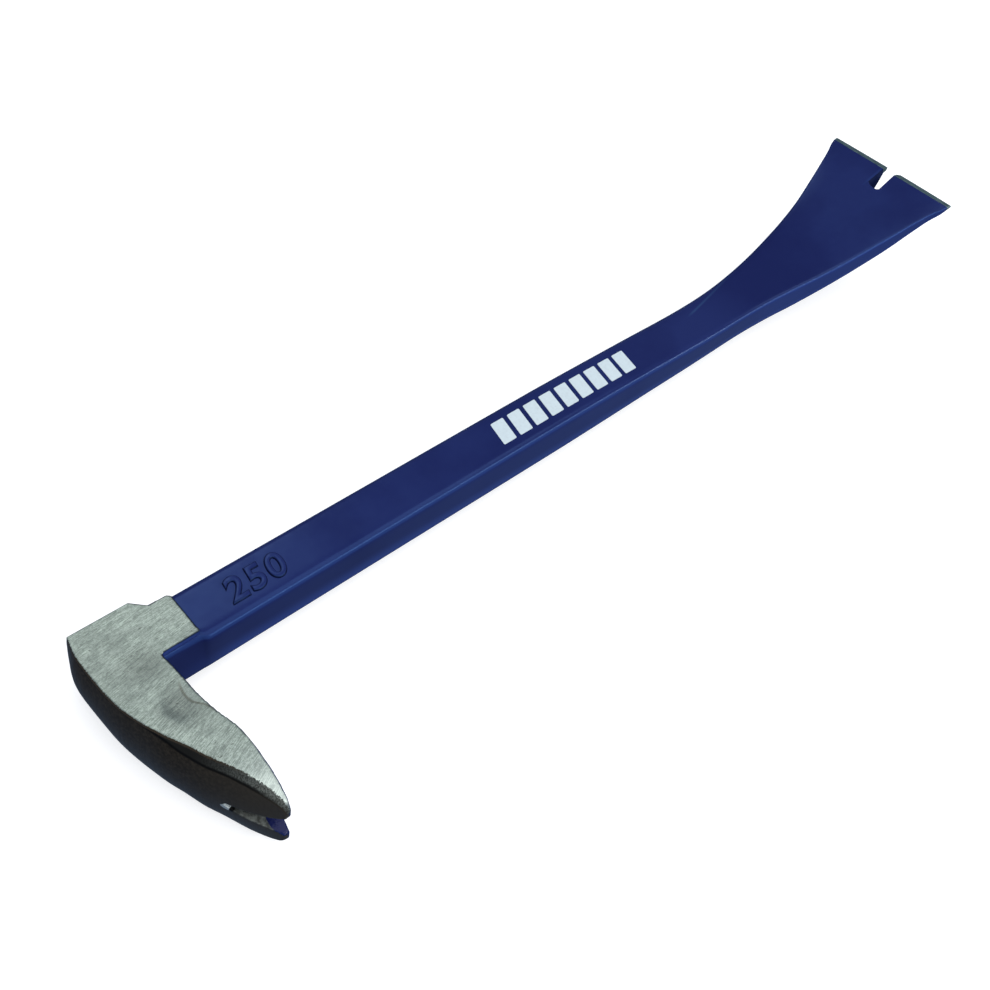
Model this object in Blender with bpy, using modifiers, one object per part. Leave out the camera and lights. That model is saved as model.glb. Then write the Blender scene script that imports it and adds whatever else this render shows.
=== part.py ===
"""Ten-inch forged nail-puller pry bar.

A hooked claw with a nail slot and a small hammer poll stands square to one end of a rounded
rectangular shank. The other end spreads into a thin blade, bent up and notched for nails.

The outline of each zone of the forging is drawn twice, from above and from the side or the end,
and the zone is what both drawings share. X runs from the poll to the blade tip, Y points out of
the strike face and Z is square to the broad face of the shank. The drawings are in millimetres
from the back corner of the strike face, at half the thickness of the shank.
"""

import math

import bmesh
import bpy
from mathutils import Matrix, Vector, geometry

MM = 0.001
GAP = 0.3  # clearance between neighbouring nodes
REACH = 40.0  # half-depth of an outline that cuts right through

# Overall
LENGTH = 254.0
SHANK_Y = -8.6  # centre line of the shank below the strike face

# Head
POLL_WIDTH = 12.1  # strike face along X
POLL_HALF = 6.05  # half-thickness of the poll and of the ground pad
POLL_CHAMFER = 2.6
PAD_END = 19.2
PAD_FAR = -2.6
PAD_NEAR = -13.1
ROOT_STEP = 0.1  # the shank's root shows this far past the end of the pad
NECK_X = 11.2  # inner side of the claw where it leaves the shank
BACK_OVERHANG = 1.1  # how far the curved back stands behind the strike face
NECK_CROWN = 1.2  # the back bulges this much more halfway between its two edges
CLAW_CROWN = 2.0  # the same in the lower half of the claw
CROWN_LAYERS = 4
CLAW_HALF = 9.05  # half-width of the claw where it is widest
CLAW_WIDENS = 8.0  # distances below the strike face
CLAW_WIDEST = 39.0
TIP_DEPTH = 50.8
TIP_HALF = 6.0
TIP_CORNER = 1.5
TIP_X = 12.0

# Nail slot in the claw
SLOT_ROOT = 41.0  # distances below the strike face
SLOT_ROOT_HALF = 0.5
SLOT_FLARE = 48.0
SLOT_FLARE_HALF = 1.9
SLOT_MOUTH_HALF = 2.9

# Shank
SHANK_WIDTH_HEAD = 12.3
SHANK_WIDTH_BLADE = 12.8
SHANK_THICK_HEAD = 10.7
SHANK_THICK_BLADE = 8.0
TAPER_START = 112.0
SHANK_ROUND = 1.6

# Blade
BLADE_START = 176.0
BLADE_WIDTH = 38.4
BLADE_RISE = 17.3  # how far the bend lifts the top of the tip above the shank's top
BLADE_ROUND = 1.1
EDGE_LENGTH = 1.7  # bare ground strip along the tip
EDGE_THICK = 0.9
TIP_BULGE = 0.7
NOTCH_DEPTH = 7.6
NOTCH_MOUTH_HALF = 1.8
NOTCH_ROOT_HALF = 0.8

# Marks on the upper broad face
SIZE_DIGITS = "250"
DIGIT_SIZE = 8.0
DIGIT_START = 27.2
DIGIT_PITCH = 4.55
DIGIT_SLANT = 0.15
DIGIT_THICK = 0.4
PRINT_START = 98.5
PRINT_LENGTH = 46.5
PRINT_HEIGHT = 6.4
PRINT_BLOCKS = 9
PRINT_SLANT = 1.5
PRINT_GAP = 1.3
PRINT_THICK = 0.25

PAINT_BLUE = ("paint_blue", (0.016, 0.030, 0.125), 0.0, 0.32)
BARE_STEEL = ("bare_steel", (0.42, 0.44, 0.42), 1.0, 0.38)
PRINT_WHITE = ("print_white", (0.80, 0.84, 0.86), 0.0, 0.45)


def clear_scene():
    for obj in list(bpy.data.objects):
        bpy.data.objects.remove(obj, do_unlink=True)


def new_collection(name):
    collection = bpy.data.collections.new(name)
    bpy.context.scene.collection.children.link(collection)
    return collection


def material(name, colour, metallic, roughness):
    """The named material, made on first use."""
    found = bpy.data.materials.get(name)
    if found:
        return found
    made = bpy.data.materials.new(name)
    made.use_nodes = True
    shader = made.node_tree.nodes["Principled BSDF"]
    shader.inputs["Base Color"].default_value = (*colour, 1.0)
    shader.inputs["Metallic"].default_value = metallic
    shader.inputs["Roughness"].default_value = roughness
    return made


def mesh_from_curve(obj):
    """Replaces a filled curve or text by a welded mesh object of the same name."""
    graph = bpy.context.evaluated_depsgraph_get()
    mesh = bpy.data.meshes.new_from_object(obj.evaluated_get(graph))
    shape = bmesh.new()
    shape.from_mesh(mesh)
    bmesh.ops.remove_doubles(shape, verts=shape.verts, dist=1e-6)
    bmesh.ops.recalc_face_normals(shape, faces=shape.faces)
    shape.to_mesh(mesh)
    shape.free()
    name = obj.name
    matrix = obj.matrix_world.copy()
    collection = obj.users_collection[0]
    bpy.data.objects.remove(obj, do_unlink=True)
    solid = bpy.data.objects.new(name, mesh)
    solid.matrix_world = matrix
    collection.objects.link(solid)
    return solid


def set_handles(bezier_point, corner):
    kind = "VECTOR" if corner else "AUTO"
    bezier_point.handle_left_type = kind
    bezier_point.handle_right_type = kind


def outline_solid(name, points, collection, half_depth=REACH, steps=6):
    """A prism on a closed outline of (across, up, corner) points, extruded both ways."""
    curve = bpy.data.curves.new(name, "CURVE")
    curve.dimensions = "2D"
    curve.fill_mode = "BOTH"
    curve.extrude = half_depth * MM
    curve.resolution_u = steps
    spline = curve.splines.new("BEZIER")
    spline.bezier_points.add(len(points) - 1)
    spline.use_cyclic_u = True
    for bezier_point, (across, up, corner) in zip(spline.bezier_points, points):
        bezier_point.co = (across * MM, up * MM, 0.0)
        set_handles(bezier_point, corner)
    obj = bpy.data.objects.new(name, curve)
    collection.objects.link(obj)
    bpy.context.view_layer.update()
    return mesh_from_curve(obj)


def turned(obj, *turns):
    """Turns an object's mesh about world axes, one (axis, degrees) pair after another."""
    for axis, degrees in turns:
        obj.data.transform(Matrix.Rotation(math.radians(degrees), 4, axis))
    return obj


def drawn_from_above(name, points, collection, **sizes):
    """A prism along Z on an outline of (x, y, corner) points."""
    return outline_solid(name, points, collection, **sizes)


def drawn_from_side(name, points, collection, **sizes):
    """A prism along Y on an outline of (x, z, corner) points."""
    return turned(outline_solid(name, points, collection, **sizes), ("X", 90))


def drawn_from_end(name, points, collection, **sizes):
    """A prism along X on an outline of (y, z, corner) points."""
    return turned(outline_solid(name, points, collection, **sizes), ("X", 90), ("Z", 90))


def box(name, low, high, collection):
    """A box between two corners."""
    shape = bmesh.new()
    bmesh.ops.create_cube(shape, size=1.0)
    for vertex in shape.verts:
        share = [coordinate + 0.5 for coordinate in vertex.co]
        vertex.co = [(a + (b - a) * t) * MM for a, b, t in zip(low, high, share)]
    mesh = bpy.data.meshes.new(name)
    shape.to_mesh(mesh)
    shape.free()
    obj = bpy.data.objects.new(name, mesh)
    collection.objects.link(obj)
    return obj


def boolean(obj, operation, other):
    modifier = obj.modifiers.new(other.name, "BOOLEAN")
    modifier.operation = operation
    modifier.solver = "EXACT"
    modifier.object = other


def bevel(obj, width, segments=3, angle=35):
    modifier = obj.modifiers.new("Rounded edges", "BEVEL")
    modifier.width = width * MM
    modifier.segments = segments
    modifier.limit_method = "ANGLE"
    modifier.angle_limit = math.radians(angle)
    modifier.harden_normals = False


def smooth(points, steps=4):
    """A Catmull-Rom curve through a list of 2D points."""
    path = []
    for place in range(len(points) - 1):
        before = Vector(points[max(place - 1, 0)])
        start = Vector(points[place])
        end = Vector(points[place + 1])
        after = Vector(points[min(place + 2, len(points) - 1)])
        handles = (start + (end - before) / 6, end - (after - start) / 6)
        path += geometry.interpolate_bezier(start, *handles, end, steps + 1)[:-1]
    path.append(Vector(points[-1]))
    return [tuple(point)[:2] for point in path]


def loft(name, layers, collection):
    """A closed solid through rings of (x, y, z) points, each with the same count, bottom to top."""
    shape = bmesh.new()
    rings = [[shape.verts.new(Vector(point) * MM) for point in ring] for ring in layers]
    count = len(rings[0])
    for below, above in zip(rings, rings[1:]):
        for place in range(count):
            following = (place + 1) % count
            shape.faces.new((below[place], below[following], above[following], above[place]))
    shape.faces.new(rings[0])
    shape.faces.new(rings[-1])
    bmesh.ops.triangulate(shape, faces=shape.faces)
    bmesh.ops.recalc_face_normals(shape, faces=shape.faces)
    mesh = bpy.data.meshes.new(name)
    shape.to_mesh(mesh)
    shape.free()
    obj = bpy.data.objects.new(name, mesh)
    collection.objects.link(obj)
    return obj


def as_cutter(obj):
    obj.hide_render = True
    obj.display_type = "WIRE"
    return obj


def mirrored_outline(side):
    """Closes a half outline of (along, half, corner) points with its reflection."""
    back = [(along, -half, corner) for along, half, corner in reversed(side)]
    return side + back


# Head


def back_of_claw():
    """The edge of the head's back from above, from the tip up to the strike face."""
    return smooth(
        [
            (TIP_X - 0.8, -TIP_DEPTH + 0.2),
            (9.3, -45.7),
            (5.6, -36.7),
            (2.6, -28.8),
            (0.4, -22.0),
            (-0.9, -13.4),
            (-BACK_OVERHANG, -6.0),
            (-0.4, -0.7),
        ]
    )


def rest_of_head():
    """From the strike face over the chamfer, the pad and the inner side of the claw to its tip."""
    inner = smooth(
        [
            (NECK_X, PAD_NEAR - 1.0),
            (NECK_X + 0.2, -20.5),
            (NECK_X + 0.3, -26.0),
            (12.5, -32.2),
            (13.05, -37.5),
            (TIP_X + 0.6, -47.3),
            (TIP_X, -TIP_DEPTH),
        ]
    )
    corners = [
        (0.3, 0.0),
        (POLL_WIDTH, 0.0),
        (POLL_WIDTH + POLL_CHAMFER, -POLL_CHAMFER),
        (PAD_END - 0.9, PAD_FAR),
        (PAD_END, PAD_FAR - 0.7),
        (PAD_END, PAD_NEAR),
        (NECK_X + 1.0, PAD_NEAR),
    ]
    return corners + inner


def claw_half_width(depth):
    """Half the thickness along Z at a distance below the strike face."""
    if depth < CLAW_WIDEST:
        share = max(0.0, (depth - CLAW_WIDENS) / (CLAW_WIDEST - CLAW_WIDENS))
        return POLL_HALF + (CLAW_HALF - POLL_HALF) * share * share * (3 - 2 * share)
    share = (depth - CLAW_WIDEST) / (TIP_DEPTH - CLAW_WIDEST)
    return CLAW_HALF - (CLAW_HALF - TIP_HALF) * share**3


def crown(depth, height):
    """How far the back bulges at a distance below the strike face and a height along Z."""
    fade_in = min(1.0, 0.15 + depth / 8)
    fade_out = min(1.0, (TIP_DEPTH - depth) / 9)
    grown = min(1.0, max(0.0, (depth - 22.0) / 10.0))
    across = max(-0.3, 1 - (height / claw_half_width(depth)) ** 2)
    return (NECK_CROWN + (CLAW_CROWN - NECK_CROWN) * grown) * fade_in * fade_out * across


def head_blank(name, collection):
    """The head's outline from above, lofted through layers along Z that crown its back."""
    back = back_of_claw()
    rest = rest_of_head()
    layers = []
    for layer in range(-CROWN_LAYERS, CROWN_LAYERS + 1):
        height = (CLAW_HALF + 1.0) * layer / CROWN_LAYERS
        ring = []
        for place, (x, y) in enumerate(back):
            ahead = Vector(back[min(place + 1, len(back) - 1)]) - Vector(back[max(place - 1, 0)])
            outward = Vector((-ahead.y, ahead.x)).normalized() * crown(-y, height)
            ring.append((x + outward.x, y + min(0.0, outward.y), height))
        ring += [(x, y, height) for x, y in rest]
        layers.append(ring)
    return loft(name, layers, collection)


def claw_end_view():
    """The head from its end: parallel at the poll, leaf-shaped down to the rounded tips of the tines."""
    depths = [-1.0, CLAW_WIDENS] + [CLAW_WIDENS + 5.0 * step for step in range(1, 7)]
    depths += [CLAW_WIDEST + 3.5, CLAW_WIDEST + 6.5, CLAW_WIDEST + 8.5, TIP_DEPTH - TIP_CORNER]
    half = [(-depth, claw_half_width(depth), True) for depth in depths]
    for degrees in (30, 60, 90):
        turn = math.radians(degrees)
        y = -TIP_DEPTH + TIP_CORNER * (1 - math.sin(turn))
        half.append((y, TIP_HALF + 0.3 - TIP_CORNER * (1 - math.cos(turn)), True))
    return mirrored_outline(half)


def slot_end_view():
    """The nail slot from the same end: a V with a narrow flat root that flares at its mouth."""
    half = [
        (-SLOT_ROOT, SLOT_ROOT_HALF, True),
        (-SLOT_FLARE, SLOT_FLARE_HALF, True),
        (-TIP_DEPTH, SLOT_MOUTH_HALF, True),
        (-TIP_DEPTH - 2.0, SLOT_MOUTH_HALF + 1.0, True),
    ]
    return mirrored_outline(half)


def shank_root(cutters):
    """The start of the shank, forged on to the neck under the ground pad."""
    low = (NECK_X - 3.0, SHANK_Y - SHANK_WIDTH_HEAD / 2, -SHANK_THICK_HEAD / 2)
    high = (PAD_END + SHANK_ROUND * 2, SHANK_Y + SHANK_WIDTH_HEAD / 2, SHANK_THICK_HEAD / 2)
    root = box("shank_root", low, high, cutters)
    bevel(root, SHANK_ROUND)
    return as_cutter(root)


def build_head(parts, cutters):
    leaf = as_cutter(drawn_from_end("claw_leaf", claw_end_view(), cutters))
    slot = as_cutter(drawn_from_end("nail_slot", slot_end_view(), cutters))
    beyond_slot = box("beyond_slot", (-REACH, -2 * REACH, -REACH), (REACH, -SLOT_ROOT, REACH), cutters)
    root_end = PAD_END + ROOT_STEP
    beyond_pad = box("beyond_pad", (root_end, -REACH, -REACH), (2 * REACH, REACH, REACH), cutters)
    head = head_blank("claw_head", parts)
    boolean(head, "INTERSECT", leaf)
    boolean(head, "DIFFERENCE", as_cutter(beyond_slot))
    boolean(head, "UNION", shank_root(cutters))
    boolean(head, "DIFFERENCE", as_cutter(beyond_pad))
    upper = build_tine("claw_tine_upper", 1, leaf, slot, parts, cutters)
    lower = build_tine("claw_tine_lower", -1, leaf, slot, parts, cutters)
    return [head, upper, lower]


def build_tine(name, side, leaf, slot, parts, cutters):
    """One of the two points of the claw: the blank beyond the root of the slot, on one side."""
    low = (-REACH, -2 * REACH, min(0.0, side * REACH))
    high = (REACH, -SLOT_ROOT - GAP, max(0.0, side * REACH))
    tine = head_blank(name, parts)
    boolean(tine, "INTERSECT", leaf)
    boolean(tine, "INTERSECT", as_cutter(box(name + "_half", low, high, cutters)))
    boolean(tine, "DIFFERENCE", slot)
    return tine


# Shank


def shank_half_width(x):
    share = (x - PAD_END) / (BLADE_START - PAD_END)
    return (SHANK_WIDTH_HEAD + (SHANK_WIDTH_BLADE - SHANK_WIDTH_HEAD) * share) / 2


def build_shank(parts, cutters):
    start = PAD_END + ROOT_STEP + GAP
    end = BLADE_START - GAP / 2
    over = 2 * SHANK_ROUND
    widths = [(x, shank_half_width(x), True) for x in (start - over, end + over)]
    plan = [(x, y + SHANK_Y, corner) for x, y, corner in mirrored_outline(widths)]
    half_head = SHANK_THICK_HEAD / 2
    side = [
        (start - over, half_head, True),
        (TAPER_START, half_head, True),
        ((TAPER_START + end) / 2 + 5.0, half_head - 0.75, False),
        (end + over, SHANK_THICK_BLADE / 2, True),
    ]
    shank = drawn_from_above("shank", plan, parts)
    profile = drawn_from_side("shank_profile", mirrored_outline(side), cutters)
    span = box("shank_span", (start, -REACH, -REACH), (end, REACH, REACH), cutters)
    boolean(shank, "INTERSECT", as_cutter(profile))
    bevel(shank, SHANK_ROUND)
    boolean(shank, "INTERSECT", as_cutter(span))
    return shank


# Blade


def blade_plan():
    """Flared outline from above, with a slightly convex tip."""
    half = [
        (BLADE_START - 4.0, SHANK_WIDTH_BLADE / 2, True),
        (BLADE_START, SHANK_WIDTH_BLADE / 2, False),
        (186.0, 6.7, False),
        (200.0, 8.0, False),
        (213.0, 9.9, False),
        (228.0, 12.8, False),
        (243.0, 16.5, False),
        (LENGTH, BLADE_WIDTH / 2, True),
        (LENGTH + TIP_BULGE, 0.35 * BLADE_WIDTH / 2, True),
    ]
    return [(x, y + SHANK_Y, corner) for x, y, corner in mirrored_outline(half)]


def blade_side():
    """The blade from the side: it thins and bends up, and ends in a ground wedge."""
    top = SHANK_THICK_BLADE / 2
    tip = top + BLADE_RISE
    over = LENGTH + TIP_BULGE + 0.5
    return [
        (BLADE_START - 5.0, top, True),
        (BLADE_START + 6.0, top + 0.3, False),
        (195.0, top + 1.55, False),
        (210.0, top + 3.4, False),
        (225.0, top + 6.95, False),
        (over, tip + 0.3, True),
        (over, tip - EDGE_THICK, True),
        (LENGTH, tip - EDGE_THICK, True),
        (244.0, 14.1, False),
        (232.0, 7.5, False),
        (215.0, 1.6, False),
        (196.0, -1.95, False),
        (185.0, -3.0, False),
        (BLADE_START, -top, False),
        (BLADE_START - 5.0, -top, True),
    ]


def notch_plan():
    """The nail notch from above, open at the tip and round at its root."""
    root = LENGTH - NOTCH_DEPTH
    half = [
        (LENGTH + 3.0, NOTCH_MOUTH_HALF + 0.4, True),
        (root + 0.9, NOTCH_ROOT_HALF + 0.1, True),
        (root + 0.2, NOTCH_ROOT_HALF - 0.4, True),
    ]
    return [(x, y + SHANK_Y, corner) for x, y, corner in mirrored_outline(half)]


def blade_blank(name, profile, parts):
    blank = drawn_from_above(name, blade_plan(), parts)
    boolean(blank, "INTERSECT", profile)
    return blank


def build_blade(parts, cutters):
    profile = as_cutter(drawn_from_side("blade_profile", blade_side(), cutters))
    notch = as_cutter(drawn_from_above("nail_notch", notch_plan(), cutters))
    strip = LENGTH - EDGE_LENGTH
    start = BLADE_START + GAP / 2
    tip_cut = box("tip_cut", (strip - GAP, -REACH, -REACH), (LENGTH + REACH, REACH, REACH), cutters)
    root_cut = box("root_cut", (start - REACH, -REACH, -REACH), (start, REACH, REACH), cutters)
    blade = blade_blank("pry_blade", profile, parts)
    boolean(blade, "DIFFERENCE", as_cutter(tip_cut))
    bevel(blade, BLADE_ROUND)
    boolean(blade, "DIFFERENCE", as_cutter(root_cut))
    boolean(blade, "DIFFERENCE", notch)
    edges = []
    for name, side in (("blade_edge_left", 1), ("blade_edge_right", -1)):
        low = (strip, SHANK_Y + min(0.0, side * REACH), -REACH)
        high = (LENGTH + REACH, SHANK_Y + max(0.0, side * REACH), REACH)
        edge = blade_blank(name, profile, parts)
        boolean(edge, "INTERSECT", as_cutter(box(name + "_half", low, high, cutters)))
        boolean(edge, "DIFFERENCE", notch)
        edges.append(edge)
    return [blade] + edges


# Marks


def build_digits(parts):
    """Raised size numerals, leaning along the shank."""
    made = []
    bottom = SHANK_THICK_HEAD / 2 + GAP
    for place, figure in enumerate(SIZE_DIGITS):
        curve = bpy.data.curves.new("figure", "FONT")
        curve.body = figure
        curve.size = DIGIT_SIZE * MM
        curve.shear = DIGIT_SLANT
        curve.resolution_u = 3
        curve.extrude = DIGIT_THICK / 2 * MM
        obj = bpy.data.objects.new(f"size_digit_{place + 1}", curve)
        x = DIGIT_START + DIGIT_PITCH * place
        obj.location = Vector((x, SHANK_Y - DIGIT_SIZE * 0.35, bottom + DIGIT_THICK / 2)) * MM
        parts.objects.link(obj)
        bpy.context.view_layer.update()
        made.append(mesh_from_curve(obj))
    return made


def build_print(parts):
    """A row of bold slanted ink blocks."""
    made = []
    pitch = (PRINT_LENGTH - PRINT_SLANT + PRINT_GAP) / PRINT_BLOCKS
    width = pitch - PRINT_GAP
    bottom = SHANK_THICK_HEAD / 2 + GAP
    for place in range(PRINT_BLOCKS):
        x = PRINT_START + pitch * place
        low_y = SHANK_Y - PRINT_HEIGHT / 2
        high_y = SHANK_Y + PRINT_HEIGHT / 2
        corners = [
            (x, low_y, True),
            (x + width, low_y, True),
            (x + width + PRINT_SLANT, high_y, True),
            (x + PRINT_SLANT, high_y, True),
        ]
        block = outline_solid(f"print_block_{place + 1}", corners, parts, PRINT_THICK / 2, steps=1)
        block.location.z = (bottom + PRINT_THICK / 2) * MM
        made.append(block)
    return made


def world_box(objects):
    """Lowest and highest corner of the evaluated objects."""
    bpy.context.view_layer.update()
    graph = bpy.context.evaluated_depsgraph_get()
    corners = []
    for obj in objects:
        mesh = obj.evaluated_get(graph).to_mesh()
        corners += [obj.matrix_world @ vertex.co for vertex in mesh.vertices]
    low = Vector([min(corner[axis] for corner in corners) for axis in range(3)])
    high = Vector([max(corner[axis] for corner in corners) for axis in range(3)])
    return low, high


def stand_on_origin(objects, helpers):
    """Moves everything so that the origin is under the middle of the tool, at its lowest point."""
    low, high = world_box(objects)
    shift = Vector((-(low.x + high.x) / 2, -(low.y + high.y) / 2, -low.z))
    for obj in objects + helpers:
        obj.location += shift


def main():
    clear_scene()
    parts = new_collection("pry_bar")
    cutters = new_collection("cutters")
    cutters.hide_render = True
    head = build_head(parts, cutters)
    shank = build_shank(parts, cutters)
    blade, *edges = build_blade(parts, cutters)
    digits = build_digits(parts)
    blocks = build_print(parts)
    for obj in head + edges:
        obj.data.materials.append(material(*BARE_STEEL))
    for obj in [shank, blade] + digits:
        obj.data.materials.append(material(*PAINT_BLUE))
    for obj in blocks:
        obj.data.materials.append(material(*PRINT_WHITE))
    stand_on_origin(list(parts.objects), list(cutters.objects))


main()
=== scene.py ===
"""Looks of the forged nail-puller pry bar: ground claw head, painted shank and blade, print."""

import math

import bmesh
import bpy
import numpy as np
from mathutils import Euler, Matrix, Vector


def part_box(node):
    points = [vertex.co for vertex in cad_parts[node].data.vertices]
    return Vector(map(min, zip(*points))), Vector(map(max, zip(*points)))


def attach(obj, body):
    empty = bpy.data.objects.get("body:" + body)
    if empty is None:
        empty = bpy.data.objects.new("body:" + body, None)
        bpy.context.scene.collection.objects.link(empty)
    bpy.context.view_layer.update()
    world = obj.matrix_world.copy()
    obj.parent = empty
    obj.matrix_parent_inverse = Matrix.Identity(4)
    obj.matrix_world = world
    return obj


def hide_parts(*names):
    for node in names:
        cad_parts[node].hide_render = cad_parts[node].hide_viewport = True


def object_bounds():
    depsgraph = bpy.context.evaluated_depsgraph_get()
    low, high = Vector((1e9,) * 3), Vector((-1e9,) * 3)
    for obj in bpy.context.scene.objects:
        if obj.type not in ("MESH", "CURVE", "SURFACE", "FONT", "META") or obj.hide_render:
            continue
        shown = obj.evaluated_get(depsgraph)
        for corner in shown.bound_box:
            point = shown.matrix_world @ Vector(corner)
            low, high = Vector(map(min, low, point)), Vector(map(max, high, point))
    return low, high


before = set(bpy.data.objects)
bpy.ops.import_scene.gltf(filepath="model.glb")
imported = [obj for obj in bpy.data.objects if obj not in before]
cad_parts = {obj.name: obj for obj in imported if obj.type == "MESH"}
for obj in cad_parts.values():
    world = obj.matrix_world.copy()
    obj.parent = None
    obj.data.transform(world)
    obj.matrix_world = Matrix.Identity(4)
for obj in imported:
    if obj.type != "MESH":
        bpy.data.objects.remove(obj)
cad_low, cad_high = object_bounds()

MM = 0.001

# The forging is drawn in millimetres from the back corner of the strike face, at half the
# thickness of the shank: X towards the blade tip, Y out of the strike face, Z up.
PAD_END = 19.2
ROOT_STEP = 0.1
head_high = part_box("claw_head")[1]
shank_low, shank_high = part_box("shank")
ORIGIN = Vector(
    (
        head_high.x - (PAD_END + ROOT_STEP) * MM,
        head_high.y,
        (shank_low.z + shank_high.z) / 2,
    )
)

POLL_END = 12.1  # the side of the strike poll that faces the blade
PAD_FAR = -2.6  # far side of the ground pad over the shank's root
PAD_NEAR = -13.1
PAD_CORNER = 18.4  # the pad's far corner is cut off from here to its end
CORNER_SLOPE = 1.15
TIP_DEPTH = 50.8  # the claw's tip, below the strike face
SLOT_ROOT = 41.0
SLOT_WIDTH_DEPTHS = (SLOT_ROOT, 48.5, 50.0, 51.0)
SLOT_HALF_WIDTHS = (0.5, 1.95, 2.55, 3.2)
SHANK_Y = -8.6
SHANK_TOP = 5.35
EDGE_START = 253.1  # the bare ground strip runs from here to the blade's tip
BLADE_HALF = 19.2


def placed(obj):
    """Moves a mesh drawn in the drawing's millimetres into the row frame."""
    obj.data.transform(Matrix.Translation(ORIGIN) @ Matrix.Scale(MM, 4))
    return obj


# Curves


class Curve:
    """A smooth curve through (position, value) points, as a function."""

    def __init__(self, *points):
        points = sorted(points)
        self.at = np.array([p[0] for p in points], float)
        self.value = np.array([p[1] for p in points], float)
        run = np.diff(self.at)
        rise = np.diff(self.value) / run
        inner = (rise[:-1] * run[1:] + rise[1:] * run[:-1]) / (run[:-1] + run[1:])
        flat = np.minimum(np.abs(rise[:-1]), np.abs(rise[1:])) * 3
        inner = np.where(rise[:-1] * rise[1:] > 0, np.clip(inner, -flat, flat), 0.0)
        self.slope = np.concatenate([rise[:1], inner, rise[-1:]])

    def __call__(self, where):
        where = np.clip(np.asarray(where, float), self.at[0], self.at[-1])
        i = np.clip(np.searchsorted(self.at, where, side="right") - 1, 0, len(self.at) - 2)
        run = self.at[i + 1] - self.at[i]
        t = (where - self.at[i]) / run
        return (
            (2 * t**3 - 3 * t**2 + 1) * self.value[i]
            + (t**3 - 2 * t**2 + t) * run * self.slope[i]
            + (3 * t**2 - 2 * t**3) * self.value[i + 1]
            + (t**3 - t**2) * run * self.slope[i + 1]
        )


def ramp(value, low, high):
    """0 at low, 1 at high, smooth between."""
    t = np.clip((np.asarray(value, float) - low) / (high - low), 0, 1)
    return t * t * (3 - 2 * t)


# Meshes


def mesh_object(name, vertices, faces):
    mesh = bpy.data.meshes.new(name)
    mesh.from_pydata([tuple(v) for v in vertices], [], faces)
    mesh.update()
    obj = bpy.data.objects.new(name, mesh)
    bpy.context.scene.collection.objects.link(obj)
    return obj


def skin(name, rings):
    """A closed solid through rings of points, each with the same count."""
    count = len(rings[0])
    vertices = [point for ring in rings for point in ring]
    faces = []
    for k in range(len(rings) - 1):
        for i in range(count):
            j = (i + 1) % count
            faces.append((k * count + i, k * count + j, (k + 1) * count + j, (k + 1) * count + i))
    faces.append(tuple(range(count)))
    faces.append(tuple(range((len(rings) - 1) * count, len(rings) * count)))
    obj = mesh_object(name, vertices, faces)
    shape = bmesh.new()
    shape.from_mesh(obj.data)
    bmesh.ops.recalc_face_normals(shape, faces=shape.faces)
    shape.to_mesh(obj.data)
    shape.free()
    return obj


CORNER_STEPS = 6


def rounded_section(half_y, low, high, radius):
    """Points of an upright rounded rectangle in Y and Z, centred on Y = 0."""
    points = []
    corners = ((1, 1, 0), (-1, 1, 90), (-1, -1, 180), (1, -1, 270))
    for side_y, side_z, start in corners:
        y = side_y * (half_y - radius)
        z = (high if side_z > 0 else low) - side_z * radius
        for step in range(CORNER_STEPS + 1):
            turn = math.radians(start + 90 * step / CORNER_STEPS)
            points.append((y + radius * math.cos(turn), z + radius * math.sin(turn)))
    return points


def cut(obj, cutter):
    """Cuts away the cutter's space and removes the cutter."""
    modifier = obj.modifiers.new("cut", "BOOLEAN")
    modifier.operation = "DIFFERENCE"
    modifier.solver = "EXACT"
    modifier.object = cutter
    applied(obj)
    bpy.data.objects.remove(cutter, do_unlink=True)


def applied(obj):
    """Makes the result of all modifiers the object's own mesh."""
    graph = bpy.context.evaluated_depsgraph_get()
    graph.update()
    mesh = bpy.data.meshes.new_from_object(obj.evaluated_get(graph))
    obj.modifiers.clear()
    obj.data = mesh


def corners_of(obj):
    co = np.zeros(len(obj.data.vertices) * 3)
    obj.data.vertices.foreach_get("co", co)
    return co.reshape(-1, 3)


def field(obj, name, values):
    attribute = obj.data.attributes.new(name, "FLOAT", "POINT")
    attribute.data.foreach_set("value", np.asarray(values, np.float32))


def shade_smooth(obj, angle=None):
    if angle is None:
        obj.data.shade_smooth()
        return
    bpy.context.view_layer.objects.active = obj
    obj.select_set(True)
    bpy.ops.object.shade_smooth_by_angle(angle=math.radians(angle))
    obj.select_set(False)


# Head: sections across the claw, each at its distance below the strike face

# Its back, the inner side of its neck and claw, and how far the back is crowned
back_x = Curve(
    (0.0, -0.3),
    (-0.7, -0.42),
    (-5.2, -1.07),
    (-9.5, -1.0),
    (-13.4, -0.88),
    (-18.2, -0.42),
    (-22.0, 0.43),
    (-25.6, 1.5),
    (-28.8, 2.6),
    (-32.0, 3.92),
    (-36.7, 5.62),
    (-39.5, 6.92),
    (-42.5, 8.15),
    (-45.7, 9.3),
    (-48.8, 10.45),
    (-TIP_DEPTH, 11.2),
)
neck_x = Curve(
    (PAD_NEAR, 11.1),
    (-14.0, 11.15),
    (-20.6, 11.4),
    (-23.5, 11.38),
    (-26.4, 11.56),
    (-28.4, 11.79),
    (-30.5, 12.11),
    (-32.2, 12.51),
    (-34.0, 12.88),
    (-37.2, 13.07),
    (-40.8, 13.0),
    (-44.4, 12.83),
    (-47.3, 12.62),
    (-49.6, 12.38),
    (-TIP_DEPTH, 12.2),
)
back_crown = Curve(
    (0.0, 0.2),
    (-3.0, 0.8),
    (-8.0, 1.3),
    (-14.5, 1.15),
    (-22.5, 1.2),
    (-32.0, 2.0),
    (-42.0, 2.05),
    (-47.0, 1.3),
    (-TIP_DEPTH, 0.2),
)


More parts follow.
